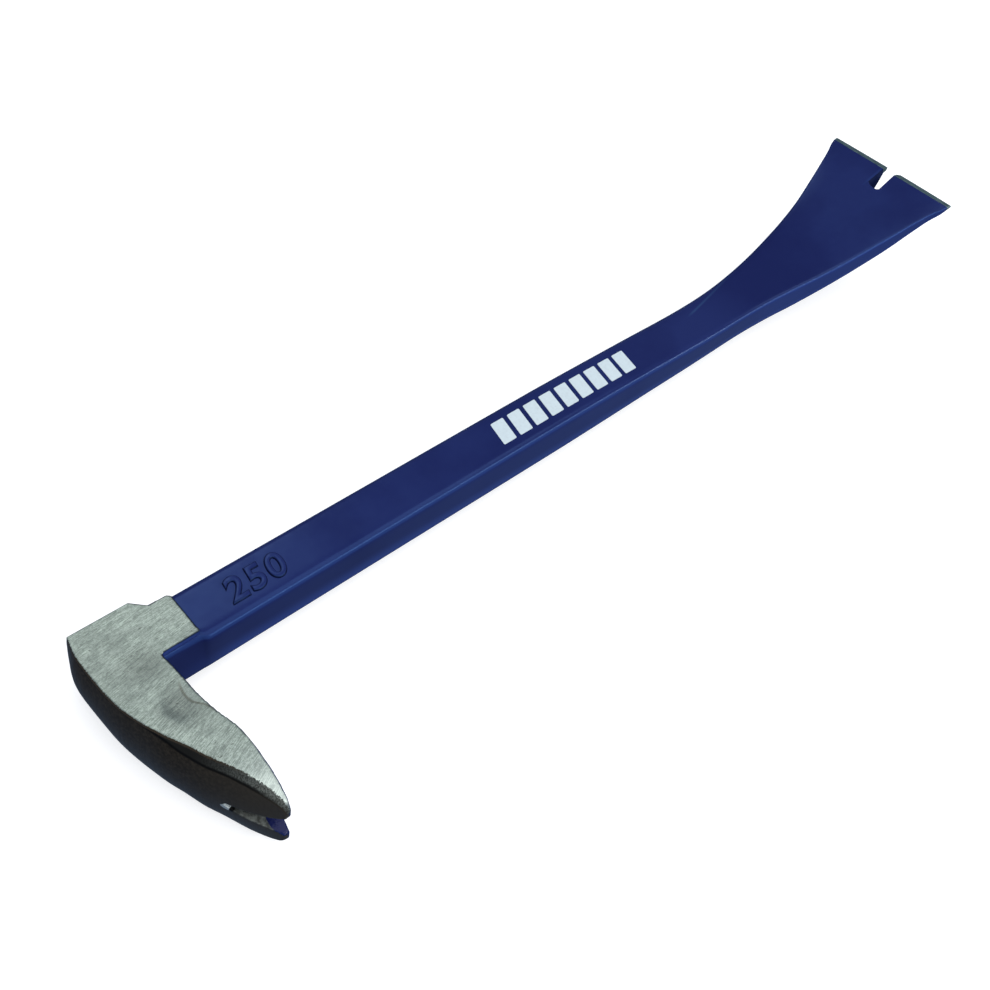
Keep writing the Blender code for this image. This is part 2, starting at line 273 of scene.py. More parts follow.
def half_claw(y):
    """Half the head's thickness along Z: it spreads from the poll to the tines, then tapers."""
    widest = 39.0
    round_end = 1.5
    wide = 6.05 + 3.0 * ramp(-y, 8.0, widest)
    tip = 3.05 * (np.clip(-y - widest, 0, None) / (TIP_DEPTH - widest)) ** 3
    past = np.clip(-y - (TIP_DEPTH - round_end), 0, round_end)
    end = round_end - np.sqrt(np.clip(round_end**2 - past**2, 0, None))
    return wide - tip - 0.9 * end


# The narrow strip along each edge of the claw's back: how far it cuts in, and how tall it is
strip_x = Curve(
    (-24.0, 0.05),
    (-29.0, 0.25),
    (-35.0, 0.5),
    (-42.7, 0.9),
    (-47.0, 1.0),
    (-TIP_DEPTH, 0.75),
)
strip_z = Curve(
    (-24.0, 0.4),
    (-29.0, 1.0),
    (-32.0, 1.7),
    (-35.0, 1.8),
    (-42.7, 1.3),
    (-47.0, 0.9),
    (-TIP_DEPTH, 0.35),
)


def inner_x(y):
    """The side of the head that faces the blade: poll, chamfer, pad and the inside of the claw."""
    y = np.asarray(y, float)
    chamfer = POLL_END - np.clip(y, PAD_FAR, 0)
    pad = np.minimum(PAD_CORNER + (PAD_FAR - y) * CORNER_SLOPE, PAD_END)
    return np.where(y > PAD_FAR, chamfer, np.where(y > PAD_NEAR, pad, neck_x(y)))


def head_section(y):
    """One section of the head, round its crowned back and its flat sides."""
    half = float(half_claw(y))
    back = float(back_x(y))
    inner = float(inner_x(y))
    crown = float(back_crown(y))
    wide, tall = float(strip_x(y)), float(strip_z(y))
    back_steps, flat_steps = 40, 12
    ring = []
    for step in range(back_steps + 1):
        share = math.sin(math.pi * (step / back_steps - 0.5))
        z = share * half
        x = back - crown * (1 - share * share) + wide * max(0.0, abs(z) - (half - tall)) / tall
        ring.append((x, y, z))
    corner = ring[-1][0]
    for step in range(1, flat_steps + 1):
        ring.append((corner + (inner - corner) * step / flat_steps, y, half))
    for step in range(1, flat_steps):
        ring.append((inner, y, half - 2 * half * step / flat_steps))
    for step in range(flat_steps + 1):
        ring.append((inner + (corner - inner) * step / (flat_steps + 1), y, -half))
    return ring


def make_head():
    step = 0.01
    depths = [0.0, 1.3, -PAD_FAR - step, -PAD_FAR + step, 3.3, 4.5, 6.0, 8.0, 10.0, 11.6]
    depths += [-PAD_NEAR - step, -PAD_NEAR + step, *np.arange(14.0, 48.0, 1.0)]
    depths += [*np.arange(48.0, 50.6, 0.3), 50.7, TIP_DEPTH - step]
    head = skin("claw_head_forging", [head_section(-depth) for depth in depths])
    half = [(-depth, z) for depth, z in zip(SLOT_WIDTH_DEPTHS, SLOT_HALF_WIDTHS)]
    half = [half[0], (-45.0, 1.2), *half[1:], (-52.0, 4.0)]
    slot = [(-SLOT_ROOT + 0.35, 0.0), *half, *[(y, -z) for y, z in reversed(half)]]
    cut(head, skin("slot", [[(x, y, z) for y, z in slot] for x in (-5.0, 25.0)]))
    remesh = head.modifiers.new("remesh", "REMESH")
    remesh.mode = "VOXEL"
    remesh.voxel_size = 0.2
    soften = head.modifiers.new("soften", "SMOOTH")
    soften.factor = 0.5
    soften.iterations = 2
    applied(head)
    dish_top(head)
    mark_head(head)
    shade_smooth(head)
    return placed(head)


def dish_top(head):
    """A shallow ground hollow beside the neck."""
    co = corners_of(head)
    x, y, z = co.T
    on_top = ramp(z - half_claw(y), -0.9, -0.05)
    away = np.hypot((x - 7.6) / 3.4, (y + 24.4) / 5.0)
    co[:, 2] -= 0.28 * on_top * (1 - ramp(away, 0.2, 1.0))
    head.data.vertices.foreach_set("co", co.ravel())
    head.data.update()


def mark_head(head):
    """Where the head is ground, dark or painted, as distances in millimetres on its points."""
    x, y, z = corners_of(head).T
    below = half_claw(y) - np.abs(z)
    slot_half = np.interp(-y, SLOT_WIDTH_DEPTHS, SLOT_HALF_WIDTHS)
    in_slot = np.where(y < -SLOT_ROOT + 0.5, slot_half + 0.2 - np.abs(z), -1.0)
    field(head, "in_slot", in_slot)
    field(head, "along", x)
    field(head, "depth", -y)
    lean = np.interp(-y, [0.0, 15.0, 25.0, 40.0, 50.0], [0.1, 0.2, 0.26, 0.42, 0.6])
    field(head, "stroke", y - lean * (x - 6.0))

    # From the dark back, and within the strip beside it; the strike face is all ground.
    edge = back_x(y) + strip_x(y)
    field(head, "from_back", np.maximum(x - edge - below, 2 * y + 1.2))
    field(head, "strip", np.where(x < edge + 0.4, strip_z(y) - below, -3.0))

    # From the enamel, which covers every side but the ground ones and runs a little over their edges
    over = np.minimum(below, 0.35)
    sprayed = 2.5 * ramp(-y, 45.2, 46.8) - 0.9 * ramp(-y, 48.0, 51.5)
    inside = np.where(in_slot > 0, np.minimum(below, sprayed), over)
    past_edge = 0.06 + 0.1 * ramp(-y, 34.0, 44.0) - 0.1 * ramp(-y, 48.0, 50.0)
    bare = inner_x(y) - x - inside - np.where(y < -21, past_edge, 0.0)
    ledge = PAD_FAR - np.clip(x - PAD_CORNER, 0, None) / CORNER_SLOPE
    far_side = np.where(x < POLL_END - PAD_FAR, POLL_END - x, ledge)
    bare = np.where((x > POLL_END) & (y > PAD_FAR - 1.0), far_side - y - over, bare)
    on_pad = (x > POLL_END - 0.7) & (y > PAD_NEAR - 0.5)
    bare = np.where(on_pad, np.minimum(bare, y - PAD_NEAR - over), bare)
    field(head, "from_inner", bare)
    # Painted highlight: a pale line on the pad's near side face, given with the flank light.
    near_side = 1 - ramp(y, PAD_NEAR + 0.15, PAD_NEAR + 0.5)
    field(head, "flank_light", on_pad * near_side * (1 - ramp(below, 0.9, 1.5)))
    mark_shade_and_wear(head, x, y, z)


def spot(*reaches):
    """1 at the middle of a spot and 0 at its edge, from (distance, reach) along each axis."""
    return 1 - np.sqrt(sum((distance / reach) ** 2 for distance, reach in reaches))


def mark_shade_and_wear(head, x, y, z):
    """Painted shade in the hollows and beside the neck's crease, the crease itself, and a painted
    highlight and painted shadow at the slot's root.
    """
    rim_x = Curve(
        (-19.0, 10.7),
        (-21.6, 9.75),
        (-23.6, 9.5),
        (-25.3, 9.8),
        (-27.3, 11.1),
        (-30.2, 11.9),
    )
    rim = x - rim_x(y)
    beside = ramp(-y, 19.0, 22.0) * (1 - ramp(-y, 28.0, 31.5))
    field(head, "rim", rim)
    field(head, "beside", beside)
    # Painted shade: darker by the pad's inner corner, in the hollow, and on the side of the crease
    # away from the rim.
    corner = ramp(spot((x - 7.0, 5.4), (y + 12.8, 5.0)), 0.0, 0.8)
    hollow = ramp(spot((x - 7.0, 5.2), (y + 25.0, 5.6)), 0.0, 0.9)
    dark = beside * np.exp(np.minimum(rim, 0.0) / 2.6) * (rim < 0.1)
    field(head, "shade", np.clip(0.95 * corner + 0.95 * hollow + 0.55 * dark, 0.0, 1.0))
    # A painted highlight at the slot's root, and a painted shadow just beside it.
    field(head, "slot_root_glint", spot((x - 5.8, 1.1), (y + 41.1, 1.2), (z + 0.8, 0.7)))
    field(head, "slot_root_shadow", spot((x - 6.3, 0.7), (y + 42.2, 0.5), (z + 0.9, 0.6)))


# Shank and blade: rounded rectangles across X, with their half width, top, underside and edges

half_width = Curve(
    (10.0, 6.15),
    (19.0, 6.15),
    (100.0, 6.28),
    (172.0, 6.4),
    (180.0, 6.45),
    (187.0, 6.72),
    (196.0, 7.5),
    (204.0, 8.6),
    (212.0, 9.95),
    (220.0, 11.45),
    (228.0, 13.05),
    (236.0, 14.95),
    (244.0, 16.8),
    (249.0, 18.1),
    (252.0, BLADE_HALF),
    (254.4, 19.7),
    (256.0, 19.9),
)
top_z = Curve(
    (10.0, SHANK_TOP),
    (112.0, SHANK_TOP),
    (146.0, 4.75),
    (172.0, 4.0),
    (183.0, 4.4),
    (196.0, 5.65),
    (204.0, 6.55),
    (212.0, 7.75),
    (220.0, 9.5),
    (228.0, 11.9),
    (236.0, 14.9),
    (244.0, 17.95),
    (252.0, 20.6),
    (256.0, 21.9),
)
low_z = Curve(
    (10.0, -SHANK_TOP),
    (112.0, -SHANK_TOP),
    (146.0, -4.75),
    (172.0, -4.0),
    (185.0, -3.0),
    (196.0, -1.95),
    (204.0, -0.95),
    (212.0, 0.75),
    (220.0, 3.0),
    (228.0, 5.85),
    (236.0, 9.6),
    (244.0, 14.15),
    (248.0, 16.5),
    (252.0, 18.75),
    (254.4, 20.3),
    (256.0, 20.8),
)
edge_round = Curve(
    (10.0, 1.6),
    (165.0, 1.6),
    (185.0, 1.2),
    (225.0, 0.9),
    (246.0, 0.55),
    (252.3, 0.32),
    (256.0, 0.3),
)

# The forging isn't quite even: its far side is a little narrow along the blade, and wide at the tip.
far_narrow = Curve(
    (180.0, 0.0),
    (196.0, 0.05),
    (205.0, 0.15),
    (213.0, 0.25),
    (220.0, 0.42),
    (230.0, 0.5),
    (236.0, 0.35),
    (240.0, 0.15),
    (244.0, -0.08),
    (248.5, -0.32),
    (252.0, -0.4),
    (256.0, -0.2),
)


SIDE_STEPS = 8


def bar_section(x, top_drop=0.0, far_inset=0.0):
    """One section of the bar; far_inset narrows it on its far side, top_drop lowers its top."""
    far_inset += float(far_narrow(x))
    radius = float(edge_round(x))
    low = float(low_z(x))
    high = float(top_z(x)) - top_drop
    radius = min(radius, (high - low) * 0.45)
    middle = SHANK_Y - far_inset / 2
    flat = rounded_section(float(half_width(x)) - far_inset / 2, low, high, radius)
    # In the crook of the claw the near flank leans in towards the edge of the pad.
    lean = 1.3 * (1 - float(ramp(x, 18.0, 20.4)))
    flat = [(y + lean * (y < 0) * (z - low) / (high - low), z) for y, z in flat]
    ring = []
    for place, (y, z) in enumerate(flat):
        next_y, next_z = flat[(place + 1) % len(flat)]
        ring.append((x, y + middle, z))
        if (place + 1) % (CORNER_STEPS + 1) == 0:
            for step in range(1, SIDE_STEPS):
                share = step / SIDE_STEPS
                ring.append((x, y + (next_y - y) * share + middle, z + (next_z - z) * share))
    return ring


# The nail notch: nearly parallel at the top face, a narrower V below, with its near lip rounded
NOTCH_TOP = (
    (245.7, 0.0),
    (245.95, 1.3),
    (246.7, 2.38),
    (253.4, 2.3),
    (254.9, 2.05),
    (258.0, 1.5),
    (258.0, -5.0),
    (254.75, -2.3),
    (254.0, -1.65),
    (253.1, -1.42),
    (246.3, -1.62),
    (245.8, -1.1),
)
NOTCH_BELOW = (
    (247.85, 0.0),
    (247.95, 0.2),
    (248.3, 0.38),
    (253.4, 1.3),
    (254.9, 1.7),
    (258.0, 1.5),
    (258.0, -5.0),
    (254.75, -2.3),
    (254.0, -1.6),
    (253.1, -1.3),
    (248.3, -0.5),
    (247.95, -0.3),
)


def notch_cutter():
    slope = float(top_z(252.0) - top_z(248.0)) / 4
    levels = ((-40.0, NOTCH_BELOW), (-3.0, NOTCH_BELOW), (0.0, NOTCH_TOP), (3.0, NOTCH_TOP))
    rings = []
    for height, outline in levels:
        lift = float(top_z(250.0)) + height
        rings.append([(x, y + SHANK_Y, lift + slope * (x - 250.0)) for x, y in outline])
    return skin("notch", rings)


def make_bar():
    stations = [PAD_END + 0.1, 19.6, 20.0, 20.5] + list(np.arange(22.5, 170.0, 2.5))
    stations += list(np.arange(170.0, EDGE_START - 0.5, 1.2)) + [EDGE_START]
    root = [bar_section(x, far_inset=1.0) for x in (10.6, 14.0, PAD_END - 0.3)]
    bar = skin("painted_bar", root + [bar_section(x) for x in stations])
    cut(bar, notch_cutter())
    mark_bar(bar)
    shade_smooth(bar, 38)
    return placed(bar)


def mark_bar(bar):
    """Where painted light falls on the flanks, less in the claw's crook, and painted shade at the
    waist and in the notch.
    """
    x, y, z = corners_of(bar).T
    middle = (top_z(x) + low_z(x)) / 2
    half = (top_z(x) - low_z(x)) / 2
    side = ramp(np.abs(y - SHANK_Y) - half_width(x), -0.8, -0.3)
    under = ramp((middle - z) / half, 0.0, 0.75)
    # Painted light on the flanks: it grows along the shank and the blade, is strongest low on each
    # flank, and is dimmed in the claw's crook as painted shade.
    flank = 0.1 + 0.22 * ramp(x, 50.0, 110.0) + 0.28 * ramp(x, 176.0, 200.0)
    crook = 0.15 + 0.85 * ramp(x, 17.0, 27.0)
    field(bar, "flank_light", side * crook * np.maximum(flank, 0.12 + 0.83 * under))
    field(bar, "from_head", x)
    field(bar, "across", y - SHANK_Y)
    # Where the notch's painted shade and its lip's painted highlight go.
    field(bar, "notch", ramp(x, 244.5, 245.5) * (1 - ramp(np.abs(y - SHANK_Y - 0.4), 3.0, 3.5)))
    # Painted shade at the blade's waist, where the forging turns.
    field(bar, "waist_shade", ramp(x, 172.0, 196.0) * (1 - ramp(x, 204.0, 232.0)) * (1 - side))


def make_tip(name, side):
    """The bare ground strip along the tip, on one side of the notch."""
    rings = []
    for past, drop in ((0.0, 0.0), (0.5, 0.14), (1.1, 0.34), (1.7, 0.58)):
        bulge = 0.25 * past / 1.7
        ring = bar_section(EDGE_START + past, drop)
        bow = [bulge * (1 - ((y - SHANK_Y) / BLADE_HALF) ** 2) for _, y, _ in ring]
        rings.append([(x + out, y, z) for out, (x, y, z) in zip(bow, ring)])
    tip = skin(name, rings)
    cut(tip, notch_cutter())
    shape = bmesh.new()
    shape.from_mesh(tip.data)
    other = [vertex for vertex in shape.verts if side * (vertex.co.y - SHANK_Y) < 0]
    bmesh.ops.delete(shape, geom=other, context="VERTS")
    shape.to_mesh(tip.data)
    shape.free()
    shade_smooth(tip, 38)
    return placed(tip)


# Marks


def make_digit(name, figure, x):
    """A raised numeral with soft sides, rooted in the shank."""
    text = bpy.data.curves.new(name, "FONT")
    text.body = figure
    text.size = 8.0
    text.shear = 0.15
    text.align_x = "CENTER"
    text.resolution_u = 8
    text.extrude = 0.02
    text.offset = -0.1
    text.bevel_depth = 0.42
    text.bevel_resolution = 3
    maker = bpy.data.objects.new(name + "_text", text)
    bpy.context.scene.collection.objects.link(maker)
    bpy.context.view_layer.update()
    mesh = bpy.data.meshes.new_from_object(
        maker.evaluated_get(bpy.context.evaluated_depsgraph_get())
    )
    bpy.data.objects.remove(maker, do_unlink=True)
    digit = bpy.data.objects.new(name, mesh)
    bpy.context.scene.collection.objects.link(digit)
    mesh.transform(Matrix.Translation((x, SHANK_Y - 2.8, SHANK_TOP - 0.05)))
    shape = bmesh.new()
    shape.from_mesh(mesh)
    bmesh.ops.remove_doubles(shape, verts=shape.verts, dist=0.002)
    bmesh.ops.recalc_face_normals(shape, faces=shape.faces)
    shape.to_mesh(mesh)
    shape.free()
    height = corners_of(digit)[:, 2]
    # Painted shade on the figure's walls, below its top.
    field(digit, "wall", 1 - ramp(height, height.max() - 0.12, height.max() - 0.01))
    shade_smooth(digit, 50)
    return placed(digit)


def make_block(name, x, width):
    """One slanted block of ink, a thin film with rounded corners."""
    slant = 1.5
    corner = 0.35
    sunk, proud = -0.1, 0.04
    low_y, high_y = SHANK_Y - 3.2, SHANK_Y + 3.2
    corners = [(x, low_y), (x + width, low_y), (x + width + slant, high_y), (x + slant, high_y)]
    outline = []
    for place, here in enumerate(corners):
        before, after = Vector(corners[place - 1]), Vector(corners[(place + 1) % 4])
        here = Vector(here)
        start = here + (before - here).normalized() * corner
        end = here + (after - here).normalized() * corner
        for step in range(5):
            t = step / 4
            outline.append(start * (1 - t) ** 2 + here * 2 * t * (1 - t) + end * t * t)
    rings = [[(p.x, p.y, float(top_z(p.x)) + z) for p in outline] for z in (sunk, proud)]
    return placed(skin(name, rings))


# Materials


class Nodes:
    """Short names for building one material's node tree."""

    def __init__(self, name):
        self.material = bpy.data.materials.new(name)
        self.material.use_nodes = True
        self.tree = self.material.node_tree
        self.shader = self.tree.nodes["Principled BSDF"]

    def new(self, kind, **settings):
        node = self.tree.nodes.new(kind)
        for key, value in settings.items():
            setattr(node, key, value)
        return node

    def put(self, socket, value):
        if isinstance(value, bpy.types.NodeSocket):
            self.tree.links.new(value, socket)
        else:
            socket.default_value = value

    def math(self, operation, *values, clamp=False):
        node = self.new("ShaderNodeMath", operation=operation, use_clamp=clamp)
        for socket, value in zip(node.inputs, values):
            self.put(socket, value)
        return node.outputs[0]

    def mix(self, share, a, b):
        node = self.new("ShaderNodeMix", data_type="RGBA")
        self.put(node.inputs["Factor"], share)
        for socket, value in ((node.inputs[6], a), (node.inputs[7], b)):
            self.put(socket, (*value, 1.0) if isinstance(value, tuple) else value)
        return node.outputs[2]

    def ramp(self, value, low, high, out_low=0.0, out_high=1.0):
        node = self.new("ShaderNodeMapRange", interpolation_type="SMOOTHSTEP")
        for key, setting in (
            ("Value", value),
            ("From Min", low),
            ("From Max", high),
            ("To Min", out_low),
            ("To Max", out_high),
        ):
            self.put(node.inputs[key], setting)
        return node.outputs["Result"]

    def field(self, name):
        return self.new("ShaderNodeAttribute", attribute_name=name).outputs["Fac"]

    def point(self):
        """Position on the object, in millimetres."""
        coordinates = self.new("ShaderNodeTexCoord").outputs["Object"]
        scaled = self.new("ShaderNodeVectorMath", operation="SCALE")
        self.put(scaled.inputs[0], coordinates)
        self.put(scaled.inputs["Scale"], 1000.0)
        return scaled.outputs[0]

    def vector(self, x, y, z):
        node = self.new("ShaderNodeCombineXYZ")
        for socket, value in zip(node.inputs, (x, y, z)):
            self.put(socket, value)
        return node.outputs[0]

    def stretch(self, vector, x, y, z):
        node = self.new("ShaderNodeVectorMath", operation="MULTIPLY")
        self.put(node.inputs[0], vector)
        self.put(node.inputs[1], (x, y, z))
        return node.outputs[0]

    def noise(self, vector, scale, detail=3.0, rough=0.5):
        node = self.new("ShaderNodeTexNoise")
        for key, value in (
            ("Vector", vector),
            ("Scale", scale),
            ("Detail", detail),
            ("Roughness", rough),
        ):
            self.put(node.inputs[key], value)
        return node.outputs["Fac"]

    def bump(self, height, strength, distance):
        node = self.new("ShaderNodeBump")
        self.put(node.inputs["Height"], height)
        self.put(node.inputs["Strength"], strength)
        self.put(node.inputs["Distance"], distance)
        return node.outputs["Normal"]

    def finish(self, **sockets):
        for key, value in sockets.items():
            self.put(self.shader.inputs[key.replace("_", " ")], value)
        return self.material


PAINT = (0.0122, 0.0190, 0.088)
PAINT_DEEP = (0.0094, 0.0138, 0.072)
# The next five colours paint light and shade: a highlight on the arrises, light on the flanks, shade
# at the waist and in the notch, and a glint where the blade spreads.
PAINT_ARRIS_HIGHLIGHT = (0.020, 0.047, 0.165)
PAINT_FLANK_LIGHT = (0.026, 0.051, 0.220)
PAINT_WAIST_SHADE = (0.0062, 0.0085, 0.056)
PAINT_NOTCH_SHADE = (0.0025, 0.0032, 0.020)
PAINT_GLINT = (0.035, 0.085, 0.18)
PAINT_GLOSS = 0.26
PAINT_TINT = (0.2, 0.45, 1.0, 1.0)


def band(n, value, inner, outer, strength):
    """A line where the value is 0, of this strength, that fades from inner to outer."""
    return n.ramp(n.math("ABSOLUTE", value), inner, outer, strength, 0.0)


def facing_up(n):
    """1 on a surface that faces up, 0 on an upright one and -1 on one that faces down."""
    facing = n.new("ShaderNodeSeparateXYZ")
    n.put(facing.inputs[0], n.new("ShaderNodeNewGeometry").outputs["Normal"])
    return facing.outputs["Z"]


def paint_colour(n):
    point = n.point()
    cloud = n.noise(point, 0.045, 3.0)
    grain = n.noise(point, 0.9, 4.0, 0.6)
    share = n.math("ADD", n.ramp(cloud, 0.35, 0.65), n.math("MULTIPLY", grain, 0.25), clamp=True)
    colour = n.mix(share, PAINT_DEEP, PAINT)
    # Painted highlight along the rounded arrises, and painted light on the flanks, paler towards
    # their lower edge.
    up = facing_up(n)
    upper_highlight = n.math("MULTIPLY", n.ramp(up, 0.22, 0.5), n.ramp(up, 0.86, 0.68))
    colour = n.mix(n.math("MULTIPLY", upper_highlight, 0.55), colour, PAINT_ARRIS_HIGHLIGHT)
    flank = n.math("MULTIPLY", n.field("flank_light"), n.ramp(up, 0.75, 0.5))
    colour = n.mix(flank, colour, PAINT_FLANK_LIGHT)
    colour = notch_paint(n, colour, up)
    colour = paint_glint(n, colour)
    # Painted shade at the blade's waist.
    return n.mix(n.math("MULTIPLY", n.field("waist_shade"), 0.7), colour, PAINT_WAIST_SHADE)


def notch_paint(n, colour, up):
    """Painted shade on the walls of the nail notch, and a painted highlight line along its upper lip.
    """
    wall = n.math("MULTIPLY", n.field("notch"), n.ramp(up, 0.88, 0.78))
    colour = n.mix(n.math("MULTIPLY", wall, 0.85), colour, PAINT_NOTCH_SHADE)
    lip_highlight = band(n, n.math("SUBTRACT", n.field("across"), 2.75), 0.1, 0.45, 0.3)
    top = n.math("MULTIPLY", n.field("notch"), n.ramp(up, 0.85, 0.92))
    return n.mix(n.math("MULTIPLY", lip_highlight, top), colour, PAINT_ARRIS_HIGHLIGHT)


def paint_glint(n, colour):
    """A faint painted glint, slanting across the shank where it starts to spread."""
    from_head = n.field("from_head")
    slanted = n.math("MULTIPLY_ADD", from_head, -0.183, n.math("ADD", n.field("across"), 28.84))
    run = band(n, slanted, 0.0, 0.55, 0.32)
    span = n.math("MULTIPLY", n.ramp(from_head, 170.0, 174.0), n.ramp(from_head, 197.0, 188.0))
    return n.mix(n.math("MULTIPLY", run, span), colour, PAINT_GLINT)


def paint_height(n):
    """Slight waviness of the forging under the enamel, with fine orange peel on it."""
    point = n.point()
    waves = n.noise(point, 0.12, 1.0)
    peel = n.noise(point, 0.7, 1.0)
    return n.math("ADD", waves, n.math("MULTIPLY", peel, 0.1))


def paint_material(name, marked=False):
    """Blue enamel; where marked, painted shade lies along the walls of the raised figures."""
    n = Nodes(name)
    colour = paint_colour(n)
    if marked:
        colour = n.mix(n.math("MULTIPLY", n.field("wall"), 0.92), colour, (0.002, 0.003, 0.016))
    return n.finish(
        Base_Color=colour,
        Roughness=n.ramp(n.noise(n.point(), 0.6, 4.0), 0.3, 0.7, 0.2, 0.26),
        Specular_IOR_Level=PAINT_GLOSS,
        Specular_Tint=PAINT_TINT,
        Normal=n.bump(paint_height(n), 0.3, 0.0004),
    )


def steel_strokes(n, along, stroke):
    """Belt-grinding strokes: long in one direction and fine across it."""
    lengths = n.math("MULTIPLY", along, 0.5)
    fine = n.noise(n.vector(lengths, n.math("MULTIPLY", stroke, 4.8), 0.0), 1.0, 4.0, 0.7)
    lengths = n.math("MULTIPLY", along, 0.2)
    wide = n.noise(n.vector(lengths, n.math("MULTIPLY", stroke, 1.3), 4.0), 1.0, 3.0, 0.55)
    return fine, wide


STEEL_DARK, STEEL_PALE = (0.182, 0.214, 0.184), (0.395, 0.455, 0.392)
# Painted shade for the hollows and beside the crease.
STEEL_SHADE = (0.085, 0.095, 0.085)
FRESH_DARK, FRESH_PALE = (0.22, 0.25, 0.235), (0.60, 0.645, 0.61)
# Painted reflection: the dark colours of the claw's polished back.
BACK_REFLECTION_DARK, BACK_REFLECTION_PALE = (0.027, 0.0200, 0.0125), (0.055, 0.042, 0.027)


def ground_steel(n, streaks, fine, depth):
    """Belt-ground steel: greenish grey, with clouds, painted shade in its hollows, painted light past
    the crease, a crease line and pits, whiter at the tip.
    """
    point = n.point()
    contrast = n.ramp(depth, 20.0, 46.0, 0.0, 0.05)
    low = n.math("ADD", contrast, 0.38)
    high = n.math("SUBTRACT", 0.62, contrast)
    steel = n.mix(n.ramp(streaks, low, high), STEEL_DARK, STEEL_PALE)
    cloud = n.noise(point, 0.16, 3.0, 0.55)
    steel = n.mix(n.ramp(cloud, 0.42, 0.68, 0.0, 0.35), steel, (0.12, 0.14, 0.125))
    steel = n.mix(n.ramp(depth, 26.0, 34.0, 0.0, 0.06), steel, (0.36, 0.42, 0.39))
    # Painted shade in the hollows and beside the crease.
    steel = n.mix(n.math("MULTIPLY", n.field("shade"), 0.42), steel, STEEL_SHADE)
    rim = n.math("ADD", n.field("rim"), n.math("MULTIPLY", n.math("SUBTRACT", fine, 0.5), 0.35))
    beside = n.field("beside")
    # Painted light on the facet past the crease's rim.
    rim_facet_light = n.math("MULTIPLY", beside, n.ramp(rim, 0.05, 0.3, 0.0, 0.3))
    steel = n.mix(rim_facet_light, steel, (0.27, 0.31, 0.28))
    crease = n.math("MULTIPLY", beside, band(n, rim, 0.08, 0.4, 0.45))
    steel = n.mix(crease, steel, (0.08, 0.065, 0.045))
    fresh = n.mix(streaks, FRESH_DARK, FRESH_PALE)
    steel = n.mix(n.ramp(depth, 36.0, 50.0, 0.0, 0.6), steel, fresh)
    pits = n.noise(n.stretch(point, 0.6, 1.6, 1.0), 1.1, 2.0)
    return n.mix(n.ramp(pits, 0.68, 0.75, 0.0, 0.6), steel, (0.06, 0.065, 0.055))


def claw_back(n, from_back, grit, fine, mottle, depth):
    """The claw's back, painted dark as a painted reflection and paler towards the tip, the brushed
    strip beside it, and the burr at its edge drawn as a painted highlight line.
    """
    # Painted reflection: the polished back gets a dark colour for the dark surroundings it mirrors,
    # paler towards the tip.
    back = n.mix(n.ramp(mottle, 0.35, 0.7), BACK_REFLECTION_DARK, BACK_REFLECTION_PALE)
    back = n.mix(n.ramp(depth, 30.0, 48.0, 0.0, 0.7), back, (0.062, 0.052, 0.038))
    grain = n.math("MULTIPLY_ADD", grit, 0.7, n.math("MULTIPLY", fine, 0.3))
    brushed = n.mix(n.ramp(grain, 0.38, 0.62), (0.045, 0.046, 0.039), (0.15, 0.16, 0.14))
    strip = n.mix(n.ramp(depth, 33.0, 49.0), (0.018, 0.017, 0.014), brushed)
    colour = n.mix(n.ramp(n.field("strip"), -0.05, 0.15), back, strip)
    groove = band(n, n.math("SUBTRACT", n.field("strip"), 0.05), 0.05, 0.4, 0.9)
    groove = n.math("MULTIPLY", groove, n.ramp(depth, 44.0, 50.0, 1.0, 0.4))
    colour = n.mix(groove, colour, (0.0025, 0.0025, 0.0022))
    # The burr along the back's edge, a brown line that is also a painted highlight.
    burr_highlight = band(n, n.math("ADD", from_back, 0.32), 0.2, 0.5, 0.95)
    burr_highlight = n.math("MULTIPLY", burr_highlight, n.ramp(depth, 34.0, 44.0, 1.0, 0.0))
    return n.mix(burr_highlight, colour, (0.062, 0.046, 0.03))


def slot_wall(n, depth):
    """The walls of the nail slot, rough from the cut, with painted shade darkening them towards its
    root.
    """
    rough = n.ramp(n.noise(n.point(), 1.2, 3.0, 0.6), 0.35, 0.68)
    wall = n.mix(rough, (0.05, 0.052, 0.046), (0.15, 0.16, 0.145))
    # Painted shade, deeper towards the slot's root.
    return n.mix(n.ramp(depth, 41.0, 48.0, 0.6, 0.0), wall, (0.028, 0.03, 0.027))


